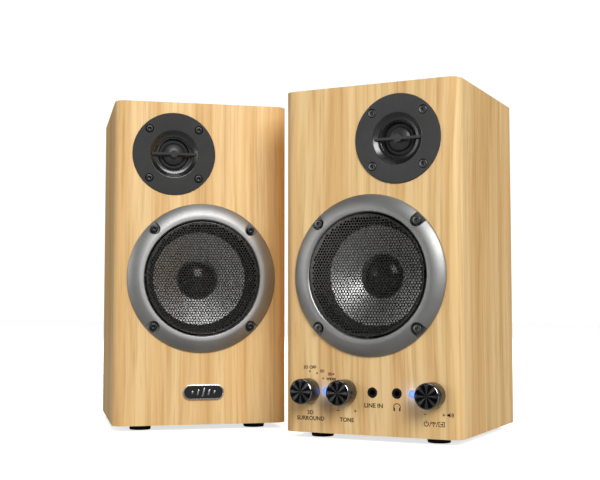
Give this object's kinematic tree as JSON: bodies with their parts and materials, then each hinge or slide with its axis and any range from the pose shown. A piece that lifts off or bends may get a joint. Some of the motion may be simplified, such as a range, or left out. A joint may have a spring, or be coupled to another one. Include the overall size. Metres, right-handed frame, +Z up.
{
  "type": "desktop speakers",
  "caption": "Pair of wooden two-way desktop speakers: an active cabinet with three knobs and front jacks, and a toed-in passive satellite.",
  "frame": {"origin": "middle of the pair's footprint, on the surface they stand on", "axes": "+X to the viewer's right along the active cabinet's front, +Y from front to back, +Z up"},
  "size_m": [0.3274, 0.174, 0.239],
  "materials": {
    "wood_vinyl": "satin vinyl wrap with a printed light oak grain",
    "rear_board": "black vinyl on board, fine leather grain",
    "rubber": "matt black rubber",
    "black_plastic": "moulded black plastic",
    "satin_silver": "satin silver-grey paint on a die casting",
    "grille_mesh": "black perforated steel",
    "pressed_steel": "black painted pressing",
    "cone_metal": "satin silver-grey cone",
    "gloss_black": "polished black",
    "copper": "enamelled copper winding",
    "doped_cloth": "resin-stiffened cloth",
    "ferrite": "sintered ferrite",
    "zinc_steel": "zinc plated steel",
    "tweeter_face": "satin dark grey",
    "dome_film": "dark metallised film",
    "black_steel": "black oxide steel",
    "blue_lens": "lit translucent blue",
    "circuit_board": "green solder mask",
    "core_steel": "varnished laminations",
    "anodised_plate": "black anodised sheet",
    "badge_face": "black with silver bars",
    "knob_black": "black anodised, spun face, bright cut edge",
    "red_plastic": "moulded red plastic"
  },
  "bodies": {
    "active_speaker": {"active_baffle": "wood_vinyl", "active_cabinet_walls": "wood_vinyl", "active_rear_panel": "rear_board", "active_feet": "rubber", "active_port_tube": "black_plastic", "active_woofer_ring": "satin_silver", "active_woofer_grille": "grille_mesh", "active_woofer_basket": "pressed_steel", "active_woofer_surround": "rubber", "active_woofer_spider": "doped_cloth", "active_woofer_magnet": "ferrite", "active_woofer_steel": "zinc_steel", "active_tweeter_plate": "tweeter_face", "active_tweeter_magnet": "black_plastic", "active_front_screws": "black_steel", "active_wire_terminal": "black_plastic", "active_control_pots": "zinc_steel", "active_indicator_lenses": "blue_lens", "active_front_jacks": "black_plastic", "active_control_board": "circuit_board", "active_amplifier_board": "circuit_board", "active_transformer": "core_steel", "active_rear_plate": "anodised_plate", "active_rear_plate_screws": "black_steel", "active_rca_sockets": "zinc_steel", "active_mains_inlet": "black_plastic"},
    "satellite_speaker": {"satellite_baffle": "wood_vinyl", "satellite_cabinet_walls": "wood_vinyl", "satellite_rear_panel": "rear_board", "satellite_feet": "rubber", "satellite_port_tube": "black_plastic", "satellite_woofer_ring": "satin_silver", "satellite_woofer_grille": "grille_mesh", "satellite_woofer_basket": "pressed_steel", "satellite_woofer_surround": "rubber", "satellite_woofer_spider": "doped_cloth", "satellite_woofer_magnet": "ferrite", "satellite_woofer_steel": "zinc_steel", "satellite_tweeter_plate": "tweeter_face", "satellite_tweeter_magnet": "black_plastic", "satellite_front_screws": "black_steel", "satellite_wire_terminal": "black_plastic", "satellite_badge": "badge_face"},
    "active_woofer_cone": {"active_woofer_cone": "cone_metal", "active_woofer_dust_cap": "gloss_black", "active_woofer_voice_coil": "copper"},
    "satellite_woofer_cone": {"satellite_woofer_cone": "cone_metal", "satellite_woofer_dust_cap": "gloss_black", "satellite_woofer_voice_coil": "copper"},
    "active_tweeter_dome": {"active_tweeter_dome": "dome_film"},
    "satellite_tweeter_dome": {"satellite_tweeter_dome": "dome_film"},
    "surround_knob": {"active_surround_knob": "knob_black"},
    "tone_knob": {"active_tone_knob": "knob_black"},
    "volume_shaft": {"active_volume_shaft": "zinc_steel"},
    "volume_knob": {"active_volume_knob": "knob_black"},
    "power_rocker": {"active_power_rocker": "black_plastic"},
    "active_red_lever": {"active_red_lever": "red_plastic"},
    "active_black_lever": {"active_black_lever": "black_plastic"},
    "satellite_red_lever": {"satellite_red_lever": "red_plastic"},
    "satellite_black_lever": {"satellite_black_lever": "black_plastic"}
  },
  "joints": [
    {"name": "satellite_placing", "type": "slide", "parent": "active_speaker", "child": "satellite_speaker", "axis": [-1, 0, 0], "range_m": [0, 0.3]},
    {"name": "active_cone_travel", "type": "slide", "parent": "active_speaker", "child": "active_woofer_cone", "axis": [0, 1, 0], "range_m": [-0.003, 0.003], "stiffness_N_per_m": 1200, "deforming": ["active_woofer_surround", "active_woofer_spider"]},
    {"name": "active_dome_travel", "type": "slide", "parent": "active_speaker", "child": "active_tweeter_dome", "axis": [0, 1, 0], "range_m": [-0.0003, 0.0003], "stiffness_N_per_m": 1500},
    {"name": "satellite_cone_travel", "type": "slide", "parent": "satellite_speaker", "child": "satellite_woofer_cone", "axis": [-0.6392, 0.7691, 0], "range_m": [-0.003, 0.003], "stiffness_N_per_m": 1200, "deforming": ["satellite_woofer_surround", "satellite_woofer_spider"]},
    {"name": "satellite_dome_travel", "type": "slide", "parent": "satellite_speaker", "child": "satellite_tweeter_dome", "axis": [-0.6392, 0.7691, 0], "range_m": [-0.0003, 0.0003], "stiffness_N_per_m": 1500},
    {"name": "surround_select", "type": "hinge", "parent": "active_speaker", "child": "surround_knob", "pos_m": [0.05662, -0.0663, 0.0323], "axis": [0, 1, 0], "range_deg": [0, 50]},
    {"name": "tone_turn", "type": "hinge", "parent": "active_speaker", "child": "tone_knob", "pos_m": [0.08362, -0.0663, 0.0323], "axis": [0, 1, 0], "range_deg": [-140, 140]},
    {"name": "volume_turn", "type": "hinge", "parent": "active_speaker", "child": "volume_shaft", "pos_m": [0.14532, -0.0663, 0.0323], "axis": [0, 1, 0], "continuous": true},
    {"name": "volume_push", "type": "slide", "parent": "volume_shaft", "child": "volume_knob", "axis": [0, 1, 0], "range_m": [0, 0.001], "stiffness_N_per_m": 2500},
    {"name": "power_switch", "type": "hinge", "parent": "active_speaker", "child": "power_rocker", "pos_m": [0.11322, 0.0687, 0.042], "axis": [1, 0, 0], "range_deg": [0, 14]},
    {"name": "active_red_lever_press", "type": "hinge", "parent": "active_speaker", "child": "active_red_lever", "pos_m": [0.10922, 0.0713, 0.0806], "axis": [1, 0, 0], "range_deg": [0, 22], "stiffness_Nm_per_rad": 0.05, "springref_deg": -5.73},
    {"name": "active_black_lever_press", "type": "hinge", "parent": "active_speaker", "child": "active_black_lever", "pos_m": [0.09122, 0.0713, 0.0806], "axis": [1, 0, 0], "range_deg": [0, 22], "stiffness_Nm_per_rad": 0.05, "springref_deg": -5.73},
    {"name": "satellite_red_lever_press", "type": "hinge", "parent": "satellite_speaker", "child": "satellite_red_lever", "pos_m": [-0.10962, 0.05419, 0.0806], "axis": [0.7691, 0.6392, 0], "range_deg": [0, 22], "stiffness_Nm_per_rad": 0.05, "springref_deg": -5.73},
    {"name": "satellite_black_lever_press", "type": "hinge", "parent": "satellite_speaker", "child": "satellite_black_lever", "pos_m": [-0.12346, 0.04268, 0.0806], "axis": [0.7691, 0.6392, 0], "range_deg": [0, 22], "stiffness_Nm_per_rad": 0.05, "springref_deg": -5.73}
  ]
}
